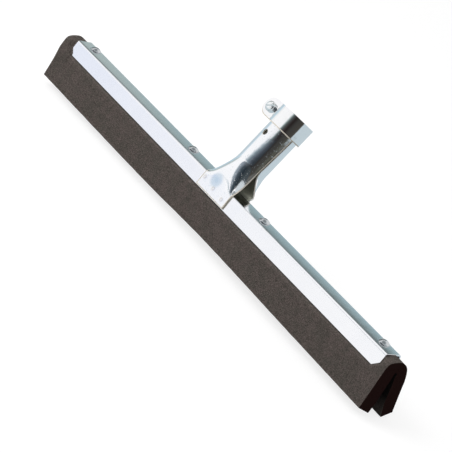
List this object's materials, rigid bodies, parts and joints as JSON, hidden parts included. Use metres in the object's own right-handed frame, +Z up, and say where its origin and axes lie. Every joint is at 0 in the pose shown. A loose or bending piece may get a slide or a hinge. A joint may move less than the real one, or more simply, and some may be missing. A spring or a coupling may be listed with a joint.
{
  "type": "foam squeegee",
  "caption": "Foam floor squeegee head: folded foam lips in a plated steel channel, with a split clamp socket that leans back for a handle.",
  "frame": {"origin": "centre of the socket's mouth, where the handle goes in", "axes": "+X along the blade, -Y the front with the nail hole, +Z up with both foam lips level on the floor; the socket's axis leans back 24 degrees from +Z towards +Y"},
  "size_m": [0.45, 0.0668, 0.1121],
  "materials": {
    "zinc_channel": "bright zinc plate with a faint spangle",
    "foam": "matte sponge foam rubber, dark grey-brown",
    "plain_steel": "plain rolled steel strip",
    "rivet": "zinc plated steel, satin",
    "zinc_shell": "bright zinc plate, smooth pressed sheet",
    "zinc_collar": "bright zinc plate",
    "zinc_screw": "bright zinc plated screw"
  },
  "bodies": {
    "head": {"channel": "zinc_channel", "foam_blade": "foam", "retaining_bar": "plain_steel", "blade_rivet_1": "rivet", "blade_rivet_2": "rivet", "blade_rivet_3": "rivet", "blade_rivet_4": "rivet", "front_socket_shell": "zinc_shell", "rear_socket_shell": "zinc_shell"},
    "collar": {"clamp_collar": "zinc_collar"},
    "screw": {"clamp_screw": "zinc_screw"},
    "nut": {"clamp_nut": "zinc_screw"}
  },
  "joints": [
    {"name": "collar_slide", "type": "slide", "parent": "head", "child": "collar", "axis": [0, 0.4067, 0.9135], "range_m": [-0.032, 0.016]},
    {"name": "screw_turn", "type": "hinge", "parent": "collar", "child": "screw", "pos_m": [-0.0235, -0.00325, -0.00731], "axis": [0, -0.9135, 0.4067], "range_deg": [0, 1800]},
    {"name": "nut_travel", "type": "slide", "parent": "collar", "child": "nut", "axis": [0, 0.9135, -0.4067], "range_m": [0, 0.004]}
  ],
  "couplings": [
    {"joint": "screw_turn", "follows": "nut_travel", "rad_per_m": 7854}
  ]
}
